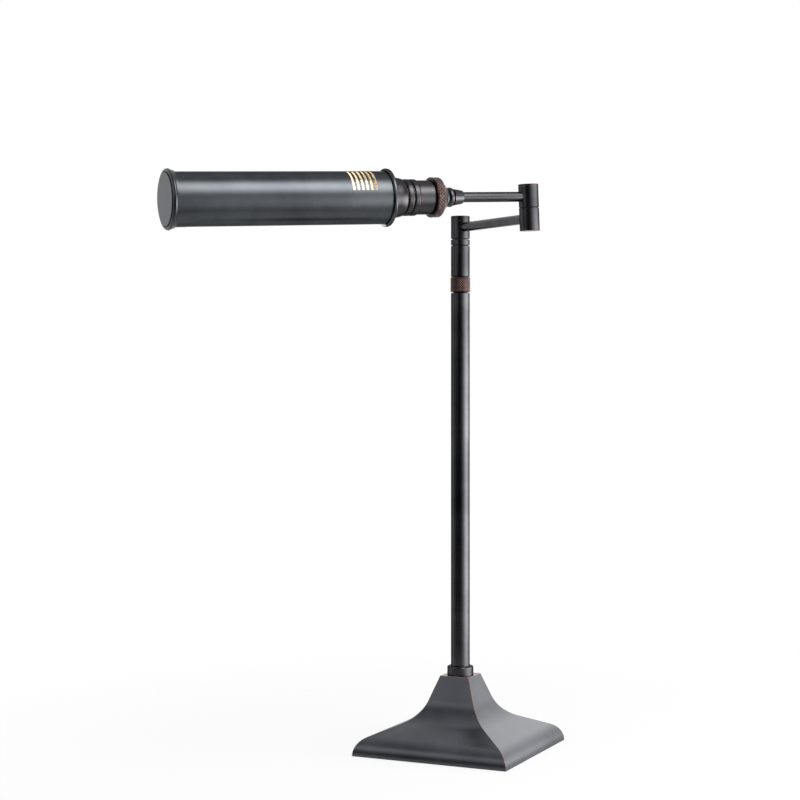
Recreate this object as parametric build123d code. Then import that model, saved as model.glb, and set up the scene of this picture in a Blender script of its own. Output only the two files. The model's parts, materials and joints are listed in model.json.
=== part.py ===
from build123d import *
import os
from math import pi, radians, tan

# A swing-arm desk lamp: square ogee base, round post with a rotary switch ring, two arms
# with a pivot between them, and a long tubular shade that rolls about its own axis.
# Millimetres, +Z up, origin on the table under the post. The base's sides face X and Y.

# Fits shared by the whole lamp, and how far a cutter runs past what it cuts
running_gap = 0.05
overcut = 1.0

# Base casting
base_side = 163.5
base_height = 75.0
base_top_side = 31.0
base_wall = 3.0
neck_slope = 69.7
skirt_slope = 23.0
shoulder_height = 13.7
cove_radius = 38.0
shoulder_radius = 19.0
rim_lift = 0.5

# Ballast and felt under the base
pad_thickness = 2.0
pad_inset = 1.5
weight_side = 130.0
weight_thickness = 12.0
weight_window = 34.0
boss_spacing = 96.0
boss_diameter = 10.0
weight_screw_diameter = 4.0
weight_screw_reach = 6.0
screw_head_diameter = 7.6
screw_head_height = 2.6
screw_hole_clearance = 0.4

# Cord inlet low in the back of the base
inlet_height = 8.0
inlet_boss_diameter = 11.5
inlet_boss_depth = 7.0
bushing_diameter = 8.0
bushing_bore = 6.0
bushing_flange_diameter = 11.0
bushing_flange_thickness = 1.5

# Post
post_diameter = 19.05
post_wall = 1.2
post_length = 385.8
post_edge = 0.4
collar_diameter = 26.5
collar_height = 9.0
collar_round = 1.6
foot_plug_length = 25.0
nipple_diameter = 9.7
nipple_bore = 7.0
nipple_grip = 22.0
nipple_tail = 1.5
nipple_washer_diameter = 21.0
nipple_washer_thickness = 1.5
nipple_nut_flats = 16.0
nipple_nut_height = 5.0

# Rotary switch ring between the post and the upper tube
neck_diameter = 14.4
neck_wall = 1.2
switch_ring_diameter = 20.1
switch_ring_height = 15.2
switch_ring_edge = 0.8
switch_gap_below = 0.8
switch_gap_above = 0.3
joiner_grip = 20.0
bush_gap = 1.0
switch_travel = 180.0
drive_pin_diameter = 2.0
rotor_height = 8.0
switch_body_height = 18.0
switch_terminal_width = 2.5
switch_terminal_thickness = 0.8
switch_terminal_height = 4.0

# Upper tube and the swivel on top of it
upper_tube_length = 31.05
groove_height = 1.1
groove_depth = 1.3
spacer_height = 5.3
spindle_diameter = 8.0
spindle_bore = 5.5
spindle_grip = 10.0
nut_flats = 12.5
nut_height = 2.0
nut_tail = 0.4

# Hubs that carry the two arms
hub_diameter = 19.05
hub_wall = 2.0
hub_floor = 3.0
cap_thickness = 2.0
cap_spigot = 2.0
hub_edge = 0.35
post_hub_height = 22.85
elbow_hub_height = 21.9
elbow_arm_height = 10.1
elbow_washer_thickness = 0.4
elbow_washer_inset = 0.8

# Arms, and how they stand in the rest pose
arm_diameter = 9.525
arm_wall = 1.2
arm_entry = 1.0
lower_arm_length = 133.1
lower_arm_heading = -37.5
elbow_lean = 2.4
elbow_fold = -94.5
upper_arm_length = 75.0

# Neck of the head, measured along the head's axis from the elbow
arm_collar_length = 9.5
arm_collar_small = 12.3
arm_collar_large = 15.6
arm_collar_round = 1.2
arm_collar_web = 4.0
head_washer_diameter = 11.5
head_washer_thickness = 1.0
bead_diameter = 18.2
bead_length = 5.6
bead_round = 2.4
nose_neck_diameter = 13.0
nose_neck_length = 0.4
nose_diameter = 20.4
nose_length = 10.2
nose_round = 2.2
nose_floor = 3.0
nut_pocket_diameter = 16.0
cup_plate_length = 4.5

# Knurled lock ring round the nose
lock_ring_diameter = 37.3
lock_ring_band = 8.3
lock_ring_cone = 6.1
lock_ring_lip = 0.3
lock_ring_setback = 2.1
lock_ring_recess_gap = 0.35

# Socket sleeve with three ribs, and the shade's rear flange
sleeve_diameter = 31.7
sleeve_wall = 1.0
sleeve_plain_length = 21.4
rib_count = 3
rib_length = 6.4
rib_rise = 1.1
rib_round = 1.2
rib_groove = 0.9
rib_groove_depth = 0.5
flare_length = 13.9
flare_shoulder_length = 4.6
flare_shoulder_diameter = 36.6
flare_diameter = 38.6
flare_round = 20.0
spigot_diameter = 30.4
spigot_wall = 1.4
spigot_length = 8.1
flange_diameter = 53.5
flange_thickness = 3.9
flange_round = 1.4
retainer_diameter = 40.0
retainer_thickness = 3.5

# Shade tube
shade_diameter = 48.8
shade_wall = 0.8
shade_length = 200.5
shade_lip_length = 5.0
shade_lip_wall = 1.5
shade_roll = -36.0
shade_opening_arc = 80.0
shade_opening_start = 1.2
shade_opening_margin = 6.5
vent_count = 6
vent_pitch = 4.35
vent_width = 2.1
vent_arc = 82.0
first_vent_offset = 16.0

# Shade's front cap
cap_band_diameter = 51.6
cap_band_length = 2.0
cap_bead_circle = 50.3
cap_bead_radius = 2.0
cap_plate = 1.6
cap_disc_diameter = 47.4
cap_disc_rise = 2.8
cap_disc_round = 0.5
cap_groove_width = 0.8
cap_groove_depth = 2.4

# Lampholder and bulb
holder_wall_gap = 0.6
holder_floor = 5.0
holder_length = 39.0
holder_wall = 0.6
screw_shell_length = 28.0
screw_shell_wall = 0.5
contact_diameter = 6.0
contact_height = 2.0
holder_screw_diameter = 3.0
holder_screw_circle = 21.0
holder_screw_grip = 3.0
holder_screw_head = 5.0
holder_screw_head_height = 1.8
bulb_thread_gap = 0.1
bulb_cap_length = 26.0
bulb_tip_diameter = 9.0
bulb_tip_length = 4.0
bulb_neck_length = 16.0
bulb_neck_gap = 0.9
bulb_taper_length = 8.0
bulb_diameter = 31.8
bulb_length = 142.0
bulb_glass_wall = 0.8

# Levels up the post
base_top = base_height
post_top = base_top + post_length
switch_ring_low = post_top + switch_gap_below
switch_ring_high = switch_ring_low + switch_ring_height
upper_tube_low = switch_ring_high + switch_gap_above
upper_tube_top = upper_tube_low + upper_tube_length
spacer_low = upper_tube_top
spacer_top = spacer_low + groove_height + spacer_height
post_hub_low = spacer_top + groove_height
arm_level = post_hub_low + post_hub_height / 2
post_bore = post_diameter - 2 * post_wall
neck_bore = neck_diameter - 2 * neck_wall
hub_cavity = hub_diameter - 2 * hub_wall
arm_bore = arm_diameter - 2 * arm_wall
weight_low = pad_thickness
weight_top = weight_low + weight_thickness
inner_top = base_height - base_wall
drive_pin_level = (switch_ring_low + switch_ring_high) / 2
bush_top = upper_tube_top - spindle_grip - bush_gap

# Stations along the head's axis, from the elbow's axis outward
collar_start = upper_arm_length - (arm_collar_length - arm_collar_web)
collar_end = collar_start + arm_collar_length
bead_start = collar_end + head_washer_thickness
bead_end = bead_start + bead_length
nose_start = bead_end + nose_neck_length
nose_end = nose_start + nose_length
cup_end = nose_end + cup_plate_length
head_nut_start = nose_start + nose_floor
stud_end = head_nut_start + nut_height + nut_tail
lock_cone_start = nose_start + lock_ring_setback
lock_band_start = lock_cone_start + lock_ring_cone
lock_ring_end = lock_band_start + lock_ring_band
lock_bore_end = nose_end - lock_ring_lip
sleeve_start = nose_end + 2 * lock_ring_lip
ribs_start = sleeve_start + sleeve_plain_length
flare_start = ribs_start + (rib_count - 1) * rib_length
flange_start = flare_start + flare_length
flange_end = flange_start + flange_thickness
spigot_end = flange_start + spigot_length
shade_start = flange_end
shade_end = shade_start + shade_length
sleeve_bore = sleeve_diameter - 2 * sleeve_wall
shade_bore = shade_diameter - 2 * shade_wall
spigot_bore = spigot_diameter - 2 * spigot_wall
holder_start = cup_end
holder_end = holder_start + holder_length
holder_diameter = sleeve_bore - 2 * holder_wall_gap
shell_diameter = holder_diameter - 2 * holder_wall
shell_start = holder_end - screw_shell_length
contact_start = holder_start + holder_floor
bulb_start = contact_start + contact_height
bulb_cap_start = bulb_start + bulb_tip_length
bulb_cap_end = bulb_cap_start + bulb_cap_length
bulb_cap_diameter = shell_diameter - 2 * screw_shell_wall - 2 * bulb_thread_gap
bulb_neck_diameter = spigot_bore - 2 * bulb_neck_gap
bulb_taper_start = bulb_cap_end + bulb_neck_length
bulb_taper_end = bulb_taper_start + bulb_taper_length
bulb_end = bulb_start + bulb_length

# Frames of the moving parts: each pivot's frame has its turning axis along Z
lower_arm_frame = Location((0, 0, arm_level), (0, 0, lower_arm_heading))
elbow_tilt = lower_arm_frame * Location((lower_arm_length, 0, 0), (elbow_lean, 0, 0))
elbow_frame = elbow_tilt * Location((0, 0, elbow_arm_height))
upper_hub_frame = elbow_frame * Location((0, 0, elbow_washer_thickness), (0, 0, elbow_fold))
upper_arm_frame = upper_hub_frame * Location((0, 0, elbow_arm_height))
head_frame = upper_arm_frame * Location((0, 0, 0), (0, 90, 0))
shade_frame = head_frame * Location((0, 0, 0), (0, 0, shade_roll))


def rod(diameter, low, high):
    """A plain round bar on the Z axis, between two levels."""
    return Pos(0, 0, low) * extrude(Circle(diameter / 2), amount=high - low)


def pipe(outer, bore, low, high):
    """A round tube on the Z axis, between two levels."""
    return Pos(0, 0, low) * extrude(Circle(outer / 2) - Circle(bore / 2), amount=high - low)


def hexagon(flats, bore, low, high):
    """A hexagonal nut on the Z axis."""
    outline = RegularPolygon(flats / 2, 6, major_radius=False) - Circle(bore / 2)
    return Pos(0, 0, low) * extrude(outline, amount=high - low)


def turned(points):
    """A turned piece: closed outline of (radius, level) points, spun about the Z axis."""
    outline = Plane.XZ * make_face(Polyline(*points, close=True))
    return revolve(outline, Axis.Z)


def edges_at(shape, level, diameter):
    """The round edges of a shape at one level and one diameter."""
    found = []
    for edge in shape.edges().filter_by(GeomType.CIRCLE):
        if abs(edge.radius - diameter / 2) < 1e-4 and abs(edge.arc_center.Z - level) < 1e-4:
            found.append(edge)
    return found


def ogee_outline(inset):
    """Half of the base's side view, as corner points, drawn in by a wall's thickness."""
    foot_half = base_side / 2 - inset
    top_half = base_top_side / 2 - inset
    shoulder = shoulder_height - inset
    top = base_height - inset
    neck_fall = tan(radians(neck_slope))
    skirt_fall = tan(radians(skirt_slope))
    cove_half = (top - shoulder + neck_fall * top_half - skirt_fall * foot_half) / (neck_fall - skirt_fall)
    cove_level = shoulder + skirt_fall * (foot_half - cove_half)
    return foot_half, shoulder, cove_half, cove_level, top_half, top


def ogee_block(inset, foot_level):
    """The base's square ogee form: one side view cut both ways, so its corners are mitred."""
    foot_half, shoulder, cove_half, cove_level, top_half, top = ogee_outline(inset)
    right = [(foot_half, foot_level), (foot_half, shoulder), (cove_half, cove_level), (top_half, top)]
    left = [(-x, z) for x, z in reversed(right)]
    face = make_face(Polyline(*right, *left, close=True))
    face = fillet([v for v in face.vertices() if abs(v.Y - cove_level) < 1e-6], cove_radius)
    face = fillet([v for v in face.vertices() if abs(v.Y - shoulder) < 1e-6], shoulder_radius)
    across = extrude(Plane.XZ * face, amount=foot_half, both=True)
    return across & Rot(0, 0, 90) * across


def boss_places():
    """The four screw places under the base."""
    return GridLocations(boss_spacing, boss_spacing, 2, 2)


def base_shell():
    """Cast ogee cover with screw bosses and a flat inlet boss at the back."""
    outer = ogee_block(0, rim_lift)
    shell = outer - ogee_block(base_wall, rim_lift - base_wall)
    for place in boss_places():
        shell += place * rod(boss_diameter, weight_top, inner_top) & outer
    for place in boss_places():
        shell -= place * rod(weight_screw_diameter, weight_top, weight_top + weight_screw_reach)
    back = base_side / 2
    inlet = Pos(0, back, inlet_height) * Rot(90, 0, 0)
    shell += inlet * rod(inlet_boss_diameter, 0, inlet_boss_depth)
    shell -= inlet * rod(bushing_diameter, -base_wall, inlet_boss_depth + base_wall)
    return shell - rod(nipple_diameter, inner_top - base_wall, base_top + base_wall)


def base_weight():
    """Iron ballast plate, screwed up against the bosses."""
    plate = Pos(0, 0, weight_low) * extrude(Rectangle(weight_side, weight_side), amount=weight_thickness)
    plate -= rod(weight_window, weight_low - overcut, weight_top + overcut)
    clear_hole = weight_screw_diameter + screw_hole_clearance
    sink = screw_head_diameter + screw_hole_clearance
    for place in boss_places():
        plate -= place * rod(clear_hole, weight_low - overcut, weight_top + overcut)
        plate -= place * rod(sink, weight_low - overcut, weight_low + screw_head_height)
    return plate


def base_pad():
    """Square felt under the ballast, the face that the lamp rests on."""
    side = base_side - 2 * base_wall - 2 * pad_inset
    return extrude(Rectangle(side, side), amount=pad_thickness)


def weight_screws():
    """Four pan-head screws that hold the ballast."""
    head = rod(screw_head_diameter, weight_low, weight_low + screw_head_height)
    shank = rod(weight_screw_diameter, weight_low + screw_head_height, weight_top + weight_screw_reach)
    screw = head + shank
    return Compound([place * screw for place in boss_places()])


def cord_bushing():
    """Flanged plastic sleeve in the inlet hole."""
    inlet = Pos(0, base_side / 2, inlet_height) * Rot(90, 0, 0)
    sleeve = pipe(bushing_diameter, bushing_bore, 0, inlet_boss_depth)
    flange = pipe(bushing_flange_diameter, bushing_bore, -bushing_flange_thickness, 0)
    return inlet * (sleeve + flange)


def nipple_low():
    """Lower end of the threaded nipple inside the base."""
    return inner_top - nipple_washer_thickness - nipple_nut_height - nipple_tail


def post_nipple():
    return pipe(nipple_diameter, nipple_bore, nipple_low(), base_top + nipple_grip)


def nipple_washer():
    return pipe(nipple_washer_diameter, nipple_diameter, inner_top - nipple_washer_thickness, inner_top)


def nipple_nut():
    top = inner_top - nipple_washer_thickness
    return hexagon(nipple_nut_flats, nipple_diameter, top - nipple_nut_height, top)


def base_collar():
    """Round collar that covers the foot of the post."""
    ring = pipe(collar_diameter, post_diameter, base_top, base_top + collar_height)
    return fillet(edges_at(ring, base_top + collar_height, collar_diameter), collar_round)


def post_foot_plug():
    """Plug in the foot of the post, threaded on the nipple."""
    return pipe(post_bore, nipple_diameter, base_top, base_top + foot_plug_length)


def post_tube():
    tube = pipe(post_diameter, post_bore, base_top, post_top)
    return chamfer(edges_at(tube, post_top, post_diameter), post_edge)


def sector(radius, bore, low, high, arc):
    """Part of a round tube: the slice of the given arc that is centred on the +X side."""
    outline = make_face(Polyline((bore, low), (radius, low), (radius, high), (bore, high), close=True))
    return Rot(0, 0, -arc / 2) * revolve(Plane.XZ * outline, Axis.Z, revolution_arc=arc)


def post_joiner():
    """Plug in the top of the post with a narrow hollow neck that the switch ring turns on."""
    plug = pipe(post_bore, neck_bore, post_top - joiner_grip, post_top)
    neck = pipe(neck_diameter, neck_bore, post_top, bush_top)
    pin_arc = 360 * drive_pin_diameter / (pi * neck_bore)
    half_height = drive_pin_diameter / 2 + running_gap
    low = drive_pin_level - half_height
    high = drive_pin_level + half_height
    return plug + neck - sector(neck_diameter, neck_bore / 3, low, high, switch_travel + 2 * pin_arc)


def upper_bush():
    """Threaded bush that fixes the upper tube on the neck."""
    return pipe(post_bore, neck_diameter, upper_tube_low, bush_top)


def switch_body():
    """Fixed half of the rotary switch, inside the neck, with its two terminals below."""
    top = drive_pin_level - rotor_height / 2 - running_gap
    low = top - switch_body_height
    body = rod(neck_bore, low, top)
    for side in (-1, 1):
        outline = Rectangle(switch_terminal_width, switch_terminal_thickness)
        body += Pos(side * neck_bore / 4, 0, low) * extrude(outline, amount=-switch_terminal_height)
    return body


def switch_rotor():
    """Turning half of the rotary switch."""
    low = drive_pin_level - rotor_height / 2
    rotor = rod(neck_bore - 2 * running_gap, low, low + rotor_height)
    return rotor - drive_pin_hole()


def drive_pin_hole():
    """Room for the drive pin, at the start of its travel."""
    reach = switch_ring_diameter / 2 - drive_pin_diameter / 2
    direction = Rot(0, 0, switch_travel / 2)
    return direction * Pos(0, 0, drive_pin_level) * Rot(0, 90, 0) * rod(drive_pin_diameter, 0, reach)


def drive_pin():
    """Pin that joins the switch ring to the rotor through the neck's window."""
    return drive_pin_hole()


def switch_ring():
    """Ring that is turned by hand; its knurl is a surface finish."""
    bore = neck_diameter + 2 * running_gap
    ring = pipe(switch_ring_diameter, bore, switch_ring_low, switch_ring_high)
    ends = edges_at(ring, switch_ring_low, switch_ring_diameter)
    ends += edges_at(ring, switch_ring_high, switch_ring_diameter)
    return chamfer(ends, switch_ring_edge) - drive_pin_hole()


def upper_tube():
    tube = pipe(post_diameter, post_bore, upper_tube_low, upper_tube_top)
    return chamfer(edges_at(tube, upper_tube_low, post_diameter), post_edge)


def spacer_ring():
    """Ring between the upper tube and the swivel, with a groove turned under it."""
    groove = pipe(post_diameter - 2 * groove_depth, spindle_diameter, spacer_low, spacer_low + groove_height)
    return groove + pipe(post_diameter, spindle_diameter, spacer_low + groove_height, spacer_top)


def post_swivel_washer():
    outer = hub_diameter - 2 * groove_depth
    return pipe(outer, spindle_diameter, spacer_top, post_hub_low)


def post_spindle():
    """Hollow spindle that the lower arm swings on, plugged into the upper tube."""
    grip = pipe(post_bore, spindle_bore, upper_tube_top - spindle_grip, upper_tube_top)
    top = post_hub_low + hub_floor + nut_height + nut_tail
    return grip + pipe(spindle_diameter, spindle_bore, upper_tube_top, top)


def post_spindle_nut():
    low = post_hub_low + hub_floor
    return hexagon(nut_flats, spindle_diameter, low, low + nut_height)


def hub(height, arm_height, spindle_hole):
    """A round hub: joint face at level 0, arm hole on the +X side, open at the cap's end."""
    body = rod(hub_diameter, 0, height - cap_thickness)
    body = chamfer(edges_at(body, 0, hub_diameter), hub_edge)
    body -= rod(hub_cavity, hub_floor, height)
    body -= rod(spindle_hole, -overcut, hub_floor + overcut)
    arm_hole = Pos(0, 0, arm_height) * Rot(0, 90, 0) * rod(arm_diameter, 0, hub_diameter)
    return body - arm_hole


def hub_cap(height):
    """Flat cap that closes a hub, on a short spigot."""
    low = height - cap_thickness
    cap = rod(hub_diameter, low, height) + rod(hub_cavity, low - cap_spigot, low)
    return chamfer(edges_at(cap, height, hub_diameter) + edges_at(cap, low, hub_diameter), hub_edge)


def arm_tube(start, end):
    """A thin round tube along +X."""
    return Rot(0, 90, 0) * pipe(arm_diameter, arm_bore, start, end)


def post_hub_frame():
    return Location((0, 0, post_hub_low), (0, 0, lower_arm_heading))


def post_hub():
    return post_hub_frame() * hub(post_hub_height, post_hub_height / 2, spindle_diameter + 2 * running_gap)


def post_hub_cap():
    return post_hub_frame() * hub_cap(post_hub_height)


def lower_arm_tube():
    entry = hub_cavity / 2 - arm_entry
    return lower_arm_frame * arm_tube(entry, lower_arm_length - entry)


def lower_hub_frame():
    """The elbow's lower hub hangs upside down, its arm hole facing back along the arm."""
    return elbow_frame * Location((0, 0, 0), (0, 180, 0))


def elbow_lower_hub():
    return lower_hub_frame() * hub(elbow_hub_height, elbow_arm_height, spindle_diameter)


def elbow_lower_cap():
    return lower_hub_frame() * hub_cap(elbow_hub_height)


def elbow_spindle():
    """Hollow bolt through both elbow hubs."""
    head = pipe(nut_flats, spindle_bore, -hub_floor - nut_height, -hub_floor)
    top = elbow_washer_thickness + hub_floor + nut_height + nut_tail
    return elbow_frame * (head + pipe(spindle_diameter, spindle_bore, -hub_floor, top))


def elbow_washer():
    outer = hub_diameter - 2 * elbow_washer_inset
    return elbow_frame * pipe(outer, spindle_diameter, 0, elbow_washer_thickness)


def elbow_nut():
    low = elbow_washer_thickness + hub_floor
    return elbow_frame * hexagon(nut_flats, spindle_diameter, low, low + nut_height)


def elbow_upper_hub():
    return upper_hub_frame * hub(elbow_hub_height, elbow_arm_height, spindle_diameter + 2 * running_gap)


def elbow_upper_cap():
    return upper_hub_frame * hub_cap(elbow_hub_height)


def upper_arm_tube():
    entry = hub_cavity / 2 - arm_entry
    return upper_arm_frame * arm_tube(entry, upper_arm_length)


def arm_collar():
    """Tapered collar on the end of the upper arm."""
    cone = turned([
        (0, collar_start),
        (arm_collar_small / 2, collar_start),
        (arm_collar_large / 2, collar_end),
        (0, collar_end),
    ])
    cone = fillet(edges_at(cone, collar_start, arm_collar_small), arm_collar_round)
    cone -= rod(arm_diameter, collar_start - overcut, upper_arm_length)
    return head_frame * (cone - rod(spindle_diameter, upper_arm_length - overcut, collar_end + overcut))


def head_stud():
    """Hollow stud that the whole head turns on."""
    return head_frame * pipe(spindle_diameter, spindle_bore, upper_arm_length, stud_end)


def head_washer():
    return head_frame * pipe(head_washer_diameter, spindle_diameter, collar_end, bead_start)


def head_nut():
    return head_frame * hexagon(nut_flats, spindle_diameter, head_nut_start, head_nut_start + nut_height)


def bead_ring():
    """Rounded ring behind the socket cup's nose."""
    ring = pipe(bead_diameter, spindle_diameter + 2 * running_gap, bead_start, bead_end)
    ends = edges_at(ring, bead_start, bead_diameter) + edges_at(ring, bead_end, bead_diameter)
    return head_frame * fillet(ends, bead_round)


def socket_cup():
    """Turned cup with a rounded nose; the socket sleeve is pressed on its plate."""
    nose = rod(nose_diameter, nose_start, nose_end)
    nose = fillet(edges_at(nose, nose_start, nose_diameter), nose_round)
    cup = nose + rod(nose_neck_diameter, bead_end, nose_start) + rod(sleeve_bore, nose_end, cup_end)
    cup -= rod(spindle_diameter + 2 * running_gap, bead_end - overcut, head_nut_start + overcut)
    cup -= rod(nut_pocket_diameter, head_nut_start, cup_end + overcut)
    for place in PolarLocations(holder_screw_circle / 2, 2):
        cup -= place * rod(holder_screw_diameter, cup_end - holder_screw_grip, cup_end + overcut)
    return shade_frame * cup


def lock_ring():
    """Hand ring with a cone behind a round band; its knurl is a surface finish."""
    bore = nose_diameter / 2 + running_gap
    recess = sleeve_diameter / 2 + lock_ring_recess_gap
    return shade_frame * turned([
        (bore, lock_cone_start),
        (bore + lock_ring_lip, lock_cone_start),
        (lock_ring_diameter / 2, lock_band_start),
        (lock_ring_diameter / 2, lock_ring_end),
        (recess, lock_ring_end),
        (recess, lock_bore_end),
        (bore, lock_bore_end),
    ])


def socket_sleeve():
    """Sleeve round the lampholder: plain band, ribs, and a bell-shaped flare that meets the shade."""
    plain = sleeve_diameter / 2
    rib = plain + rib_rise
    groove = plain - rib_groove_depth
    outline = [(0, sleeve_start), (plain, sleeve_start), (plain, ribs_start - rib_groove)]
    rib_levels = []
    for step in range(rib_count):
        start = ribs_start + step * rib_length
        outline += [(groove, start - rib_groove), (groove, start), (rib, start)]
        rib_levels.append(start)
        if step < rib_count - 1:
            outline.append((rib, start + rib_length - rib_groove))
            rib_levels.append(start + rib_length - rib_groove)
    outline += [
        (flare_shoulder_diameter / 2, flare_start + flare_shoulder_length),
        (flare_diameter / 2, flange_start),
        (spigot_diameter / 2, flange_start),
        (spigot_diameter / 2, spigot_end),
        (0, spigot_end),
    ]
    sleeve = turned(outline)
    shoulder = edges_at(sleeve, flare_start + flare_shoulder_length, flare_shoulder_diameter)
    sleeve = fillet(shoulder, flare_round)
    for level in rib_levels:
        sleeve = fillet(edges_at(sleeve, level, 2 * rib), rib_round)
    sleeve -= rod(sleeve_bore, sleeve_start - overcut, holder_end)
    return shade_frame * (sleeve - rod(spigot_bore, holder_end - overcut, spigot_end + overcut))


def rear_flange():
    """Disc that carries the shade tube, with a lip inside the tube."""
    disc = pipe(flange_diameter, spigot_diameter, flange_start, flange_end)
    ends = edges_at(disc, flange_start, flange_diameter) + edges_at(disc, flange_end, flange_diameter)
    lip = pipe(shade_bore, shade_bore - 2 * shade_lip_wall, flange_end, flange_end + shade_lip_length)
    return shade_frame * (fillet(ends, flange_round) + lip)


def shade_retainer():
    """Threaded ring that clamps the flange on the sleeve."""
    return shade_frame * pipe(retainer_diameter, spigot_diameter, flange_end, flange_end + retainer_thickness)


def shade_opening():
    """Cutter for the long light opening, centred on the tube's own +X side."""
    low = shade_start + shade_opening_start
    high = shade_end - shade_lip_length - shade_opening_margin
    return sector(shade_diameter, shade_bore / 3, low, high, shade_opening_arc)


def shade_vents():
    """Cutters for the narrow cooling slots opposite the light opening."""
    cutters = []
    for number in range(vent_count):
        low = shade_start + first_vent_offset + number * vent_pitch - vent_width / 2
        slot = sector(shade_diameter, shade_bore / 3, low, low + vent_width, vent_arc)
        cutters.append(Rot(0, 0, 180) * slot)
    return cutters


def shade_tube():
    """Thin metal tube with the light opening below and the vents above."""
    tube = pipe(shade_diameter, shade_bore, shade_start, shade_end) - shade_opening()
    for cutter in shade_vents():
        tube -= cutter
    return shade_frame * tube


def front_cap():
    """End cap: a narrow band, a bead rim, a groove and a flat disc that stands a little proud."""
    bead_low = shade_end + cap_band_length
    bead_level = bead_low + cap_bead_radius
    disc_high = bead_level + cap_disc_rise
    band = rod(cap_band_diameter, shade_end, bead_low)
    rim = revolve(Plane.XZ * (Pos(cap_bead_circle / 2, bead_level) * Circle(cap_bead_radius)), Axis.Z)
    body = rod(cap_bead_circle, shade_end, bead_level + cap_bead_radius / 2)
    disc = rod(cap_disc_diameter, bead_low, disc_high)
    disc = fillet(edges_at(disc, disc_high, cap_disc_diameter), cap_disc_round)
    groove_outer = cap_disc_diameter + 2 * cap_groove_width
    groove = pipe(groove_outer, cap_disc_diameter, disc_high - cap_groove_depth, disc_high)
    cap = band + rim + body + disc - groove
    inside = cap_disc_diameter - 2 * cap_groove_width - 2 * cap_plate
    cap -= rod(inside, shade_end - overcut, disc_high - cap_plate)
    lip = pipe(shade_bore, shade_bore - 2 * shade_lip_wall, shade_end - shade_lip_length, shade_end)
    return shade_frame * (cap + lip)


def lampholder_body():
    """Moulded holder for a screw-in bulb, inside the socket sleeve."""
    body = rod(holder_diameter, holder_start, holder_end)
    body -= rod(shell_diameter, contact_start, holder_end + overcut)
    for place in PolarLocations(holder_screw_circle / 2, 2):
        body -= place * rod(holder_screw_diameter, cup_end - overcut, contact_start + overcut)
    return shade_frame * body


def lampholder_screws():
    """Two screws that hold the lampholder on the socket cup."""
    low = cup_end - holder_screw_grip
    screw = rod(holder_screw_diameter, low, contact_start)
    screw += rod(holder_screw_head, contact_start, contact_start + holder_screw_head_height)
    places = PolarLocations(holder_screw_circle / 2, 2)
    return shade_frame * Compound([place * screw for place in places])


def lamp_screw_shell():
    """Threaded metal shell in the lampholder."""
    bore = shell_diameter - 2 * screw_shell_wall
    return shade_frame * pipe(shell_diameter, bore, shell_start, holder_end)


def lamp_contact():
    return shade_frame * rod(contact_diameter, contact_start, contact_start + contact_height)


def bulb_cap():
    """Screw cap of the bulb."""
    return shade_frame * rod(bulb_cap_diameter, bulb_cap_start, bulb_cap_end)


def bulb_tip():
    """Insulated tip contact of the bulb."""
    return shade_frame * rod(bulb_tip_diameter, bulb_start, bulb_cap_start)


def bulb_profile(shrink, start):
    """The bulb's outline, drawn in by its glass wall, as a solid with a round end."""
    neck = bulb_neck_diameter - 2 * shrink
    body = bulb_diameter - 2 * shrink
    dome = body / 2
    shape = turned([
        (0, start),
        (neck / 2, start),
        (neck / 2, bulb_taper_start),
        (body / 2, bulb_taper_end),
        (body / 2, bulb_end - shrink - dome),
        (0, bulb_end - shrink - dome),
    ])
    return shape + Pos(0, 0, bulb_end - shrink - dome) * Sphere(dome)


def bulb_glass():
    """Long tubular bulb, hollow."""
    outside = bulb_profile(0, bulb_cap_end)
    return shade_frame * (outside - bulb_profile(bulb_glass_wall, bulb_cap_end + bulb_glass_wall))


pieces = [
    base_shell, base_weight, base_pad, weight_screws, cord_bushing,
    post_nipple, nipple_washer, nipple_nut, base_collar, post_foot_plug, post_tube,
    post_joiner, upper_bush, switch_body, upper_tube, spacer_ring,
    post_swivel_washer, post_spindle, post_spindle_nut,
    switch_ring, switch_rotor, drive_pin,
    post_hub, post_hub_cap, lower_arm_tube,
    elbow_lower_hub, elbow_lower_cap, elbow_spindle, elbow_washer, elbow_nut,
    elbow_upper_hub, elbow_upper_cap, upper_arm_tube, arm_collar, head_stud, head_washer, head_nut,
    bead_ring, socket_cup, socket_sleeve, rear_flange, shade_retainer, shade_tube, front_cap,
    lampholder_body, lampholder_screws, lamp_screw_shell, lamp_contact,
    bulb_cap, bulb_tip, bulb_glass, lock_ring,
]

os.makedirs("parts", exist_ok=True)
for piece in pieces:
    export_step(piece(), f"parts/{piece.__name__}.step")

# Where the pivots are, in the lamp's own frame
for name, frame in (("elbow", elbow_frame), ("head", head_frame)):
    axis = (frame * Location((0, 0, 1))).position - frame.position
    print(name, "pivot at", frame.position, "axis", axis)
print("shade runs from", (head_frame * Location((0, 0, shade_start))).position)
print("shade runs to", (head_frame * Location((0, 0, shade_end))).position)
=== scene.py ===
# %% [markdown]
# # A swing-arm table lamp in oil-rubbed bronze
#
# The lamp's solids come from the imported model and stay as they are. This lesson gives them their
# finishes, cuts the two knurled rings with Geometry Nodes, and sets up a plain studio. Everything
# is in metres, in the model's own frame: the origin is on the table under the post, +Z is up, and
# the base's sides face X and Y.

# %% Load the model
import json
import math

import bmesh
import bpy
from mathutils import Matrix, Vector


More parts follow.
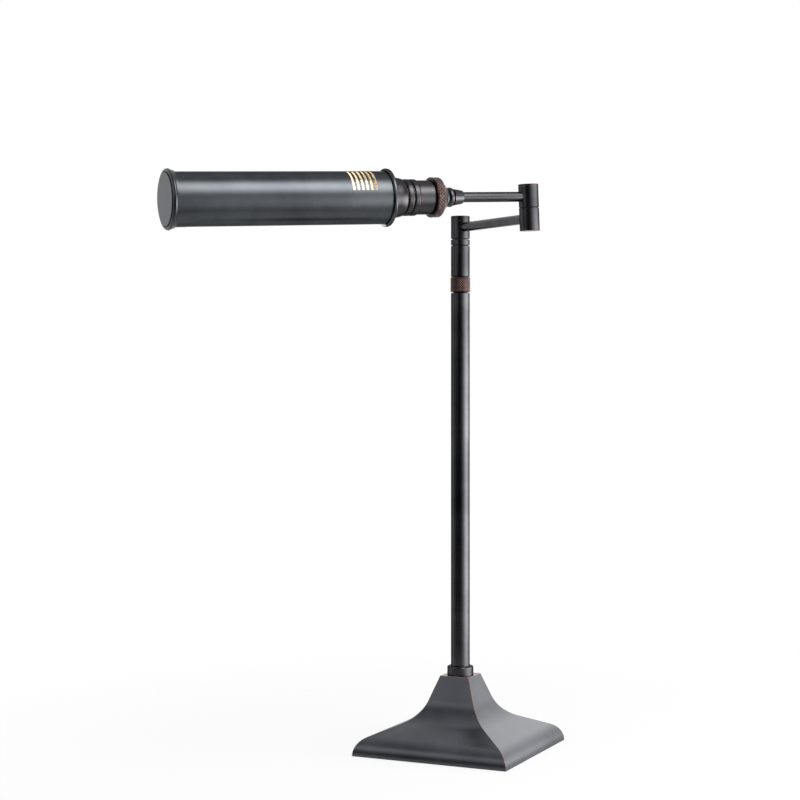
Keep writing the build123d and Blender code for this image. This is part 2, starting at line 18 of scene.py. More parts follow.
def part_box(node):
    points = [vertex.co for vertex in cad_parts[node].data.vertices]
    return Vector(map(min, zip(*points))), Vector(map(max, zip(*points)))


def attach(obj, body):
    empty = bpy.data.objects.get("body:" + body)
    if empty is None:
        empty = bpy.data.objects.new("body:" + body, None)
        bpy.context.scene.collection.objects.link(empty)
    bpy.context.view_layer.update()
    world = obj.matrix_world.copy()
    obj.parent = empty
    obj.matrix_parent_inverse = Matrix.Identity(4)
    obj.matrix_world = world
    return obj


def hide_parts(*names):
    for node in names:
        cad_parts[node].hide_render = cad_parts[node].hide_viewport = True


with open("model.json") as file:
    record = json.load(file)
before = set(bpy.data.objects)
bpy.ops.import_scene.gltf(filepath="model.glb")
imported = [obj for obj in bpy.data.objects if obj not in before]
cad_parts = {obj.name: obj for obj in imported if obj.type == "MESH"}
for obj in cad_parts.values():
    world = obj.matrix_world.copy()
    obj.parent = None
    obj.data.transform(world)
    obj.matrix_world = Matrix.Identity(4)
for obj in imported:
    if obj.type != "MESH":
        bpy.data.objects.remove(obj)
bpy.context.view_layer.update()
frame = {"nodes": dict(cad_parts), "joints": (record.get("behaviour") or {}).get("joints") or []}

nodes = frame["nodes"]
joints = {joint["name"]: joint for joint in frame["joints"]}
mm = 0.001

# %% [markdown]
# ## The camera
#
# The lamp is seen from a level camera a little above the middle of the post, from so far away that
# the post's sides stay parallel. A level camera keeps uprights upright; a small vertical shift then
# puts the horizon where it belongs, as a view camera does, instead of tilting.

# %% Camera
picture_side = 800
camera_place = Vector((731, -1716, 391)) * mm
camera_heading = math.radians(24.95)
focal_pixels = 1842
horizon_row = 362
sensor_width = 36.0

camera_data = bpy.data.cameras.new("camera")
camera_data.sensor_width = sensor_width
camera_data.lens = focal_pixels / picture_side * sensor_width
camera_data.shift_y = (horizon_row - picture_side / 2) / picture_side
camera_data.clip_start = 0.05
camera_data.clip_end = 60.0
camera = bpy.data.objects.new("camera", camera_data)
camera.location = camera_place
camera.rotation_euler = (math.pi / 2, 0, camera_heading)
bpy.context.scene.collection.objects.link(camera)
bpy.context.scene.camera = camera
bpy.context.scene.view_settings.view_transform = "Standard"

to_right = Vector((math.cos(camera_heading), math.sin(camera_heading), 0))
to_camera = Vector((math.sin(camera_heading), -math.cos(camera_heading), 0))
print("lens", round(camera_data.lens, 1), "mm, shift", round(camera_data.shift_y, 4))

# %% [markdown]
# ## Helpers for materials
#
# Colours are written as sRGB hex values, as a paint chart gives them, and one function turns them
# to the linear values that the renderer works in. Another adds a node with its settings and its
# links, so that each finish below reads as a short list of nodes. Coordinates are turned from
# metres to millimetres first, so that every pattern's scale is one over a real size in millimetres.
#
# A noise's values lie mostly between 0.3 and 0.7. A pattern is spread over that whole range for
# soft clouds, or over its middle for clearer patches.

# %% Colour and node helpers
whole_range = (0.3, 0.7)
middle_range = (0.35, 0.65)
cloudy_noise = {"Detail": 4.0, "Roughness": 0.55}
plain_noise = {"Detail": 3.0, "Roughness": 0.55}
speck_noise = {"Detail": 2.0, "Roughness": 0.55}


def linear(hex_colour):
    """An sRGB hex colour as linear red, green, blue and alpha."""
    channels = [int(hex_colour[i:i + 2], 16) / 255 for i in (1, 3, 5)]
    return [c / 12.92 if c <= 0.04045 else ((c + 0.055) / 1.055) ** 2.4 for c in channels] + [1.0]


def add(tree, kind, *values, **named):
    """Add a node with its settings and links.

    A name in small letters is one of the node's settings, and a capitalised one is an input. Values
    without a name go to the inputs that the node then shows, in their order. A value is a constant,
    a socket, or another node, whose first shown output is linked.
    """
    node = tree.nodes.new(kind)
    for name, value in named.items():
        if name.islower():
            setattr(node, name, value)
    given = list(zip([socket for socket in node.inputs if socket.enabled], values))
    for name, value in named.items():
        if not name.islower():
            given.append((node.inputs[name.replace("_", " ")], value))
    for socket, value in given:
        if isinstance(value, bpy.types.Node):
            value = next(output for output in value.outputs if output.enabled)
        if isinstance(value, bpy.types.NodeSocket):
            tree.links.new(value, socket)
        else:
            socket.default_value = value
    return node


def new_material(name):
    """A material with an empty tree."""
    material = bpy.data.materials.new(name)
    material.use_nodes = True
    material.node_tree.nodes.clear()
    return material, material.node_tree


def millimetres(tree, turn=(0, 0, 0), centre=(0, 0, 0), stretch=(1, 1, 1)):
    """Object coordinates in millimetres, centred and turned to a piece's axis, then stretched."""
    place = add(tree, "ShaderNodeTexCoord").outputs["Object"]
    centred = add(tree, "ShaderNodeVectorMath", place, centre, operation="SUBTRACT")
    turned = add(tree, "ShaderNodeMapping", centred, Rotation=turn)
    scale = [s / mm for s in stretch]
    return add(tree, "ShaderNodeVectorMath", turned, scale, operation="MULTIPLY")


def two_tones(tree, pattern, tones, gate):
    """Two colours mixed by a pattern, whose values are spread over a gate first."""
    share = add(tree, "ShaderNodeMapRange", pattern, *gate)
    return add(tree, "ShaderNodeMix", share, *tones, data_type="RGBA")


def uneven_roughness(tree, where, patch_size, ends):
    """Roughness that wanders between two ends, in patches of one size."""
    patches = add(tree, "ShaderNodeTexNoise", where, Scale=1 / patch_size, **plain_noise)
    return add(tree, "ShaderNodeMapRange", patches, *whole_range, *ends)


print("sRGB #808080 is", round(linear("#808080")[0], 3), "in linear light")

# %% [markdown]
# ## Frames for patterns that follow an axis
#
# The head and the elbow are turned pieces whose axes lean, so tool marks round them have to follow
# those axes. The model's joints say where they lie. A Mapping node turns the coordinates of such a
# piece until its axis is Z.

# %% Axes of the turned pieces
def axis_frame(joint_name):
    """A matrix whose Z axis is a joint's axis, with its origin on it."""
    joint = joints[joint_name]
    direction = Vector(joint["axis"]).normalized()
    turn = direction.to_track_quat("Z", "Y").to_matrix().to_4x4()
    return Matrix.Translation(Vector(joint["pos_m"])) @ turn


def along_axis(tree, matrix, stretch=(1, 1, 1)):
    """Coordinates in millimetres in a frame whose Z is a piece's own axis."""
    turn = matrix.to_3x3().inverted().to_euler()
    return millimetres(tree, turn, matrix.to_translation(), stretch)


def reach_along(node_name, matrix):
    """Lowest and highest station of a node along an axis, and its largest radius, in metres."""
    inverse = matrix.inverted()
    points = [inverse @ vertex.co for vertex in nodes[node_name].data.vertices]
    radius = max(math.hypot(p.x, p.y) for p in points)
    return min(p.z for p in points), max(p.z for p in points), radius


head_frame = axis_frame("head_roll")
elbow_frame = axis_frame("elbow_swivel")
post_frame = Matrix.Identity(4)
print("head axis", [round(v, 3) for v in head_frame.col[2][:3]])

for name, matrix in (("lock_ring", head_frame), ("switch_ring", post_frame)):
    low, high, radius = reach_along(name, matrix)
    print(name, "length", round((high - low) / mm, 2), "radius", round(radius / mm, 2))

# %% [markdown]
# ## Oil-rubbed bronze
#
# Oil-rubbed bronze is brass or steel under a dark brown-black patina, sealed with a thin satin
# lacquer. Hands and polishing cloths wear it through at sharp edges, where a warm copper colour
# shows. The finish is a dark metal with three things on top: cloudy colour a few centimetres
# across, fine tool marks that run round each turned piece, and copper along its edges. Real tool
# marks are about 0.2 mm apart and too fine to show, so they are drawn about 1.6 mm apart, as coarse
# as they need to be. The small specks are drawn coarser than real ones for the same reason.
#
# The Bevel node gives the normal of a slightly rounded copy of the surface. Where it differs from
# the true normal there is an edge, and on a flat or gently curved face there is none.
#
# The two hubs of the elbow meet face to face, where no hand reaches, so nothing is worn close to
# that split. The cast base is worn on its upper edges, and not where it stands on the table.

# %% Oil-rubbed bronze
patina_post = (linear("#39393c"), linear("#4a4a4d"))
patina_head = (linear("#404346"), linear("#4c4f52"))
patina_sleeve = (linear("#39383a"), linear("#454446"))
patina_cast = (linear("#46474c"), linear("#55565c"))
patina_speck = linear("#5b5d60")
worn_copper = linear("#a8735f")
# Near black: painted shade for the grooves of the spacer ring
painted_groove_shade = linear("#0b0b0c")

speck_size = 1.6
speck_gate = (0.58, 0.80)
speck_share = 0.18
ring_stretch = (0.05, 0.05, 1.5)
tool_mark_pitch = 2.4
tool_mark_depth = 0.012
cloud_gate = (0.30, 0.75)
wear_fade = 4.0
groove_edge = 0.2
lacquer_weight = 0.05
lacquer_roughness = 0.2
bevel_samples = 6


def edge_wear(tree, where, radius, grain, reach, flattest=0.97, gate=(0.42, 0.62)):
    """How far the patina is rubbed through: 1 on a sharp edge, broken up by noise."""
    rounded = add(tree, "ShaderNodeBevel", samples=bevel_samples, Radius=radius * mm)
    flat = add(tree, "ShaderNodeNewGeometry").outputs["Normal"]
    same = add(tree, "ShaderNodeVectorMath", rounded, flat, operation="DOT_PRODUCT")
    edge = add(tree, "ShaderNodeMapRange", same, flattest, flattest - reach)
    patches = add(tree, "ShaderNodeTexNoise", where, Scale=1 / grain, **plain_noise)
    rubbed = add(tree, "ShaderNodeMapRange", patches, *gate)
    return add(tree, "ShaderNodeMath", edge, rubbed, operation="MULTIPLY")


turned_wear = {"radius": 0.45, "grain": 5.0, "reach": 0.12}
handled_wear = {"radius": 0.8, "grain": 9.0, "reach": 0.10, "gate": (0.35, 0.52)}
cast_wear = {"radius": 1.0, "grain": 9.0, "reach": 0.03, "flattest": 0.985, "gate": (0.25, 0.50)}


def bronze(name, matrix, patina=patina_head, wear=0.45, worn_edges=turned_wear, tool_marks=0.12,
           cloudy=38.0, rim=0.42, smoothness=(0.23, 0.31), groove_radius=0.0, unworn_within=None):
    """Oil-rubbed bronze whose tool marks run round the Z axis of a frame.

    rim is its shine at a glancing angle, and smoothness its two ends of roughness. Within
    groove_radius of the axis it is painted black, as painted shade in the grooves, and no edge
    within unworn_within of the frame's own level is worn.
    """
    material, tree = new_material(name)
    where = along_axis(tree, matrix)
    rings = along_axis(tree, matrix, ring_stretch)
    cloud = add(tree, "ShaderNodeTexNoise", where, Scale=1 / cloudy, **cloudy_noise)
    specks = add(tree, "ShaderNodeTexNoise", where, Scale=1 / speck_size, **speck_noise)
    lathe = add(tree, "ShaderNodeTexNoise", rings, Scale=1 / tool_mark_pitch, **plain_noise)
    dark = two_tones(tree, cloud, patina, middle_range)
    dark = two_tones(tree, specks, (dark, patina_speck), (*speck_gate, 0.0, speck_share))
    worn = edge_wear(tree, where, **worn_edges)
    parts = add(tree, "ShaderNodeSeparateXYZ", where)
    if unworn_within is not None:
        away = add(tree, "ShaderNodeMath", parts.outputs["Z"], operation="ABSOLUTE")
        handled = add(tree, "ShaderNodeMapRange", away, unworn_within, unworn_within + wear_fade)
        worn = add(tree, "ShaderNodeMath", worn, handled, operation="MULTIPLY")
    rubbed = add(tree, "ShaderNodeMath", worn, wear, operation="MULTIPLY")
    colour = add(tree, "ShaderNodeMix", rubbed, dark, worn_copper, data_type="RGBA")
    # Within groove_radius the colour turns near black: painted shade in the grooves
    if groove_radius:
        offset = add(tree, "ShaderNodeCombineXYZ", parts.outputs["X"], parts.outputs["Y"])
        radius = add(tree, "ShaderNodeVectorMath", offset, operation="LENGTH")
        colour = two_tones(tree, radius, (painted_groove_shade, colour), (groove_radius, groove_radius + groove_edge))
    rough = add(tree, "ShaderNodeMapRange", cloud, *cloud_gate, *smoothness)
    bump = add(tree, "ShaderNodeBump", Strength=tool_marks, Distance=tool_mark_depth * mm, Height=lathe)
    surface = add(tree, "ShaderNodeBsdfPrincipled", Base_Color=colour, Metallic=1.0, Roughness=rough,
                  Specular_Tint=(rim, rim, rim, 1.0), Coat_Weight=lacquer_weight,
                  Coat_Roughness=lacquer_roughness, Normal=bump)
    add(tree, "ShaderNodeOutputMaterial", surface)
    return material


post_bronze = bronze("oil_rubbed_bronze_post", post_frame, patina_post, rim=0.28)
elbow_bronze = bronze("oil_rubbed_bronze_elbow", elbow_frame, patina_post, wear=0.8,
                      worn_edges=handled_wear, rim=0.28, unworn_within=3.0)
head_bronze = bronze("oil_rubbed_bronze_head", head_frame)
neck_bronze = bronze("oil_rubbed_bronze_neck", head_frame, wear=0.9, worn_edges=handled_wear)
sleeve_bronze = bronze("oil_rubbed_bronze_sleeve", head_frame, patina_sleeve, wear=0.8,
                       worn_edges=handled_wear)
arm_bronze = bronze("oil_rubbed_bronze_arm", post_frame, patina_post, tool_marks=0.0, rim=0.8)
# The spacer ring's grooves are painted black, as painted shade
grooved_bronze = bronze("oil_rubbed_bronze_grooved", post_frame, patina_post, rim=0.28,
                        groove_radius=9.0)
cast_bronze = bronze("oil_rubbed_bronze_cast", post_frame, patina_cast, wear=0.85,
                     worn_edges=cast_wear, tool_marks=0.0, cloudy=55.0, rim=0.88,
                     smoothness=(0.27, 0.34), unworn_within=6.0)
print("bronze finishes:", [m.name for m in bpy.data.materials if m.name.startswith("oil")])

# %% [markdown]
# ## The shade: bronze outside, brass inside
#
# The shade is one thin tube, patinated outside and lined with a pale lacquered brass, which throws
# the light down. Both sides belong to one solid, so the material picks the finish by the distance
# from the tube's axis: beyond the middle of the wall it is bronze, and nearer it is brass.
# Everything inside the tube gets brass the same way.

# %% Shade material
bare_brass = (linear("#f5e8cc"), linear("#fdf6e8"))
lacquered_brass = (linear("#fdf8ec"), linear("#fffdf6"))
brass_cloud_size = 9.0
brass_rub_size = 3.0
brass_smoothness = (0.28, 0.40)


def brass_surface(tree, where, tones=bare_brass, metallic=1.0):
    """Satin brass with faint cloudy colour; a pale lacquer on it makes it less metallic."""
    cloud = add(tree, "ShaderNodeTexNoise", where, Scale=1 / brass_cloud_size, **plain_noise)
    colour = two_tones(tree, cloud, tones, whole_range)
    rough = uneven_roughness(tree, where, brass_rub_size, brass_smoothness)
    return add(tree, "ShaderNodeBsdfPrincipled", Base_Color=colour, Metallic=metallic, Roughness=rough)


def brass(name):
    """Plain satin brass."""
    material, tree = new_material(name)
    add(tree, "ShaderNodeOutputMaterial", brass_surface(tree, millimetres(tree)))
    return material


def lined_bronze(name, matrix, inner_radius, from_station=None, to_station=None, brass_way=None,
                 brass_reach=None, rim=0.38):
    """Bronze outside and brass within inner_radius of the axis, between the stations given.

    With brass_way, the same stations are also brass further out than brass_reach in that direction.
    """
    material = bronze(name, matrix, rim=rim)
    tree = material.node_tree
    output = tree.nodes["Material Output"]
    outside = output.inputs["Surface"].links[0].from_node
    where = along_axis(tree, matrix)
    lining = brass_surface(tree, where, lacquered_brass, metallic=0.5)
    parts = add(tree, "ShaderNodeSeparateXYZ", where)
    station = parts.outputs["Z"]
    offset = add(tree, "ShaderNodeCombineXYZ", parts.outputs["X"], parts.outputs["Y"])
    radius = add(tree, "ShaderNodeVectorMath", offset, operation="LENGTH")
    lined = add(tree, "ShaderNodeMath", radius, inner_radius, operation="LESS_THAN")
    if brass_way is not None:
        way = matrix.to_3x3().inverted() @ brass_way
        out = add(tree, "ShaderNodeVectorMath", offset, way, operation="DOT_PRODUCT")
        on_brass_side = add(tree, "ShaderNodeMath", out, brass_reach, operation="GREATER_THAN")
        lined = add(tree, "ShaderNodeMath", lined, on_brass_side, operation="MAXIMUM")
    if from_station is not None:
        beyond = add(tree, "ShaderNodeMath", station, from_station, operation="GREATER_THAN")
        lined = add(tree, "ShaderNodeMath", lined, beyond, operation="MULTIPLY")
    if to_station is not None:
        before = add(tree, "ShaderNodeMath", station, to_station, operation="LESS_THAN")
        lined = add(tree, "ShaderNodeMath", lined, before, operation="MULTIPLY")
    both = add(tree, "ShaderNodeMixShader", lined, outside, lining)
    tree.links.new(both.outputs[0], output.inputs["Surface"])
    return material


shade_start, shade_end, shade_radius = [v / mm for v in reach_along("shade_tube", head_frame)]
shade_wall = 0.8
lined_radius = shade_radius - shade_wall / 2
print("shade runs from", round(shade_start, 1), "to", round(shade_end, 1), "mm along the head")
print("shade radius", round(shade_radius, 1), "mm")

# %% [markdown]
# The flange closes the tube's inner end. Its front face is brass inside the tube, and also on a
# crescent of its outer face, towards the way the light opening faces: a small bright crescent under
# the shade. The cap is brass in its hollow only.

# %% Shade, flange and cap
light_way = Vector((-0.416, 0.420, -0.806))
crescent_half_angle = math.radians(38)
crescent_reach = shade_radius * math.cos(crescent_half_angle)
flange_margin = 0.3
cap_wall = 0.8
cap_lining_step = 1.0
cap_front = reach_along("front_cap", head_frame)[1] / mm
shade_material = lined_bronze("shade_bronze_and_brass", head_frame, lined_radius)
flange_material = lined_bronze("flange_bronze_and_brass", head_frame, lined_radius,
                               from_station=shade_start - flange_margin, brass_way=light_way,
                               brass_reach=crescent_reach)
cap_material = lined_bronze("cap_bronze_and_brass", head_frame, lined_radius - cap_lining_step,
                            to_station=cap_front - cap_wall, rim=0.8)
brass_material = brass("satin_brass")
print("crescent starts", round(crescent_reach, 1), "mm from the axis")
print("cap's front at", round(cap_front, 1), "mm along the head")

# %% [markdown]
# ## Small hidden parts
#
# The felt foot, ballast, steel fasteners and black mouldings show from below, through the vents and
# at the light opening. Each still gets its real material. Pressed wool felt shows its fibres and a
# soft sheen, raw cast iron a rough dark grain, zinc-plated steel a faint mottle, and blackened steel
# a satin black. Moulded phenolic and nylon have a fine grain. These patterns are 0.6 to 4 mm across,
# coarser than the real ones, so that they show. All six finishes are made of the same few nodes, so
# one function makes them.

# %% Felt, iron, steel and plastic
def grainy(name, first, second, grain, metallic=0.0, rough=(0.4, 0.5), bumps=0.3, depth=0.05,
           sheen=0.0):
    """A material with two colours in grains, an uneven roughness and a fine bump."""
    material, tree = new_material(name)
    where = millimetres(tree)
    grains = add(tree, "ShaderNodeTexNoise", where, Scale=1 / grain, **cloudy_noise)
    colour = two_tones(tree, grains, (linear(first), linear(second)), middle_range)
    roughness = uneven_roughness(tree, where, grain * 3, rough)
    bump = add(tree, "ShaderNodeBump", Strength=bumps, Distance=depth * mm, Height=grains)
    surface = add(tree, "ShaderNodeBsdfPrincipled", Base_Color=colour, Metallic=metallic,
                  Roughness=roughness, Sheen_Weight=sheen, Normal=bump)
    add(tree, "ShaderNodeOutputMaterial", surface)
    return material


felt = grainy("wool_felt", "#1c1c1d", "#2c2b2b", grain=0.6, rough=(0.9, 1.0), bumps=0.8,
              depth=0.3, sheen=0.5)
cast_iron = grainy("raw_cast_iron", "#3b3a3a", "#4d4a48", grain=1.2, metallic=1.0,
                   rough=(0.5, 0.65), bumps=0.6, depth=0.15)
steel = grainy("zinc_plated_steel", "#a6a7aa", "#bcbdc0", grain=4.0, metallic=1.0,
               rough=(0.25, 0.38), bumps=0.1)
black_steel = grainy("blackened_steel", "#0c0c0d", "#161516", grain=2.0, metallic=1.0,
                     rough=(0.35, 0.5), bumps=0.1)
phenolic = grainy("black_phenolic", "#151516", "#1d1d1e", grain=0.8, rough=(0.42, 0.52),
                  bumps=0.15, depth=0.02)
nylon = grainy("black_nylon", "#121213", "#1a1a1b", grain=0.9, rough=(0.5, 0.6), bumps=0.15,
               depth=0.02)
small_finishes = [felt, cast_iron, steel, black_steel, phenolic, nylon]
print("small parts' finishes:", [material.name for material in small_finishes])

# %% [markdown]
# The bulb shows through the vents. Its glass is etched inside, which gives it a soft milky face, and
# it glows a little, because the vents in the picture are bright. Its foot stays dark. The etching is
# drawn as coarse as it needs to be to show.

# %% Frosted bulb
bulb_tones = (linear("#ffecc6"), linear("#fff3d8"))
bulb_cloud_size = 6.0
bulb_etch_size = 0.8
bulb_smoothness = (0.42, 0.55)
bulb_glow = (0.03, 1.1)
dark_foot = 22
lit_from = 32


def frosted_glass(name, matrix, dark_end, glow_start):
    """Glass etched on the inside, softly lit; between two stations its foot fades to dark."""
    material, tree = new_material(name)
    where = along_axis(tree, matrix)
    station = add(tree, "ShaderNodeSeparateXYZ", where).outputs["Z"]
    frost = add(tree, "ShaderNodeTexNoise", where, Scale=1 / bulb_cloud_size, **plain_noise)
    colour = two_tones(tree, frost, bulb_tones, whole_range)
    glow = add(tree, "ShaderNodeMapRange", station, dark_end, glow_start, *bulb_glow)
    rough = uneven_roughness(tree, where, bulb_etch_size, bulb_smoothness)
    surface = add(tree, "ShaderNodeBsdfPrincipled", Base_Color=colour, Roughness=rough, IOR=1.5,
                  Emission_Color=colour, Emission_Strength=glow)
    add(tree, "ShaderNodeOutputMaterial", surface)
    return material


bulb_foot = reach_along("bulb_glass", head_frame)[0] / mm
bulb_material = frosted_glass("frosted_bulb_glass", head_frame, bulb_foot + dark_foot,
                              bulb_foot + lit_from)
print("bulb glass starts at", round(bulb_foot, 1), "mm along the head")
print("materials so far:", len(bpy.data.materials))

# %% [markdown]
# ## Knurled rings
#
# A knurl is rolled into a ring by two wheels that press slanting grooves both ways, and leaves rows
# of small diamonds. It could be a bump texture, but its outline shows against the pale background,
# so it is cut as geometry. The rings are a redder bronze than the rest, because hands turn them.
# The geometry carries two point attributes for their material: one says how high a point of the
# knurl is, and the other where the knurled band ends.

# %% Knurled worn bronze
# Black of the knurl's grooves, which the plain parts nearly take too: partly patina, partly painted
# shade
knurl_groove_and_shade_black = linear("#0d0a0b")
worn_lip = linear("#b0857a")
knurl_patch_size = 3.6
knurl_smoothness = (0.30, 0.42)
groove_heights = (0.10, 0.60)
tip_heights = (0.55, 0.90)
tip_share = 0.8
band_edge = (0.4, 0.6)
lip_share = 0.8
knurl_wear = {"radius": 0.5, "grain": 5.0, "reach": 0.10, "gate": (0.30, 0.50)}


def knurled_bronze(name, matrix, dark_red, light_red, tips):
    """Reddish bronze: copper shows on the knurl's tips, and the grooves keep their black."""
    material, tree = new_material(name)
    where = along_axis(tree, matrix)
    height = add(tree, "ShaderNodeAttribute", attribute_name="knurl_height").outputs["Fac"]
    band = add(tree, "ShaderNodeAttribute", attribute_name="knurl_band").outputs["Fac"]
    patch = add(tree, "ShaderNodeTexNoise", where, Scale=1 / knurl_patch_size, **cloudy_noise)
    reddish = two_tones(tree, patch, (linear(dark_red), linear(light_red)), middle_range)
    # Low points and plain parts go nearly black: dark patina, and painted shade on the lock ring's
    # front face
    body = two_tones(tree, height, (knurl_groove_and_shade_black, reddish), groove_heights)
    body = two_tones(tree, height, (body, linear(tips)), (*tip_heights, 0.0, tip_share))
    worn = edge_wear(tree, where, **knurl_wear)
    off_band = add(tree, "ShaderNodeMapRange", band, *band_edge, lip_share, 0.0)
    worn = add(tree, "ShaderNodeMath", worn, off_band, operation="MULTIPLY")
    colour = add(tree, "ShaderNodeMix", worn, body, worn_lip, data_type="RGBA")
    rough = add(tree, "ShaderNodeMapRange", patch, *whole_range, *knurl_smoothness)
    surface = add(tree, "ShaderNodeBsdfPrincipled", Base_Color=colour, Metallic=1.0, Roughness=rough)
    add(tree, "ShaderNodeOutputMaterial", surface)
    return material


post_knurl = knurled_bronze("knurled_bronze_post", post_frame, "#4a3c3c", "#6f524d", "#9a8887")
head_knurl = knurled_bronze("knurled_bronze_head", head_frame, "#3f3434", "#806762", "#b3a5a2")
print("knurled finishes:", post_knurl.name, "and", head_knurl.name)

# %% [markdown]
# One Geometry Nodes tree makes both rings. Its object holds half of the ring's section as a loop of
# edges. The tree turns that loop into a curve, samples it on a grid, wraps the grid round the axis,
# and pushes each point in by the depth of the nearer of two slanting grooves. A point attribute on
# the section says where the ring is knurled.

# %% The knurling tree
knurling_inputs = {"Teeth": "Float", "Tooth Length": "Float", "Depth": "Float",
                   "Steps Along": "Int", "Steps Round": "Int"}
half = 0.5
plain_tone = 0.14
seam_distance = 0.002


def knurling_tree(material):
    """Geometry Nodes that sweep a section round the Z axis and knurl it."""
    tree = bpy.data.node_groups.new("knurled_turning", "GeometryNodeTree")
    tree.interface.new_socket("Geometry", in_out="INPUT", socket_type="NodeSocketGeometry")
    for name, kind in knurling_inputs.items():
        tree.interface.new_socket(name, in_out="INPUT", socket_type="NodeSocket" + kind)
    tree.interface.new_socket("Geometry", in_out="OUTPUT", socket_type="NodeSocketGeometry")
    given = add(tree, "NodeGroupInput").outputs

    # The grid is one unit square about the origin: X runs along the section and Y round the axis
    section = add(tree, "GeometryNodeMeshToCurve", given["Geometry"])
    grid = add(tree, "GeometryNodeMeshGrid", Size_X=1.0, Size_Y=1.0,
               Vertices_X=given["Steps Along"], Vertices_Y=given["Steps Round"])
    share = add(tree, "ShaderNodeSeparateXYZ", add(tree, "GeometryNodeInputPosition"))
    along = add(tree, "ShaderNodeMath", share.outputs["X"], half, operation="ADD")
    turned = add(tree, "ShaderNodeMath", share.outputs["Y"], half, operation="ADD")
    knurled = add(tree, "GeometryNodeInputNamedAttribute", data_type="FLOAT", Name="knurled")
    sample = add(tree, "GeometryNodeSampleCurve", data_type="FLOAT", mode="FACTOR", Curves=section,
                 Value=knurled, Factor=along)
    point = add(tree, "ShaderNodeSeparateXYZ", sample.outputs["Position"]).outputs
    run = add(tree, "ShaderNodeSeparateXYZ", sample.outputs["Tangent"]).outputs
    on_band = sample.outputs["Value"]

    # Two families of slanting grooves; a tooth is as high as the nearer groove lets it be
    teeth_round = add(tree, "ShaderNodeMath", turned, given["Teeth"], operation="MULTIPLY")
    teeth_along = add(tree, "ShaderNodeMath", point["Z"], given["Tooth Length"], operation="DIVIDE")
    slopes = []
    for way in ("ADD", "SUBTRACT"):
        phase = add(tree, "ShaderNodeMath", teeth_round, teeth_along, operation=way)
        wave = add(tree, "ShaderNodeMath", phase, half, operation="PINGPONG")
        slopes.append(add(tree, "ShaderNodeMath", wave, 2.0, operation="MULTIPLY"))
    height = add(tree, "ShaderNodeMath", *slopes, operation="MINIMUM")
    lack = add(tree, "ShaderNodeMath", 1.0, height, operation="SUBTRACT")
    cut = add(tree, "ShaderNodeMath", lack, on_band, operation="MULTIPLY")
    push = add(tree, "ShaderNodeMath", cut, given["Depth"], operation="MULTIPLY")

    # The section runs upwards outside, so its outward side is the tangent turned a quarter
    inward = add(tree, "ShaderNodeMath", push, run["Z"], operation="MULTIPLY")
    upward = add(tree, "ShaderNodeMath", push, run["X"], operation="MULTIPLY")
    radius = add(tree, "ShaderNodeMath", point["X"], inward, operation="SUBTRACT")
    level = add(tree, "ShaderNodeMath", point["Z"], upward, operation="ADD")
    angle = add(tree, "ShaderNodeMath", turned, math.tau, operation="MULTIPLY")
    cosine = add(tree, "ShaderNodeMath", angle, operation="COSINE")
    sine = add(tree, "ShaderNodeMath", angle, operation="SINE")
    east = add(tree, "ShaderNodeMath", radius, cosine, operation="MULTIPLY")
    north = add(tree, "ShaderNodeMath", radius, sine, operation="MULTIPLY")
    wrapped = add(tree, "ShaderNodeCombineXYZ", east, north, level)

    # For the material, plain parts carry one low tone, which paints them almost as black as the
    # grooves:
    # partly the rings' dark patina, partly painted shade on the lock ring's front face. The band
    # carries its true height
    tone = add(tree, "ShaderNodeMix", on_band, plain_tone, height, data_type="FLOAT")
    kept = grid
    for attribute, value in (("knurl_height", tone), ("knurl_band", on_band)):
        kept = add(tree, "GeometryNodeStoreNamedAttribute", data_type="FLOAT", domain="POINT",
                   Geometry=kept, Name=attribute, Value=value)
    moved = add(tree, "GeometryNodeSetPosition", Geometry=kept, Position=wrapped)
    closed = add(tree, "GeometryNodeMergeByDistance", Geometry=moved, Distance=seam_distance * mm)
    real = add(tree, "GeometryNodeRealizeInstances", Geometry=closed)
    finished = add(tree, "GeometryNodeSetMaterial", Geometry=real, Material=material)
    add(tree, "NodeGroupOutput", finished)
    return tree


print("inputs of the knurling tree:", list(knurling_inputs))

# %% [markdown]
# A ring is made once from its section and the tree's inputs. The result is kept as a plain mesh,
# put on its axis, and its faces are turned outwards.

# %% Turn a section into a finished ring
def face_outwards(mesh):
    """Point every face of a closed mesh outwards."""
    work = bmesh.new()
    work.from_mesh(mesh)
    bmesh.ops.recalc_face_normals(work, faces=work.faces)
    work.to_mesh(mesh)
    work.free()


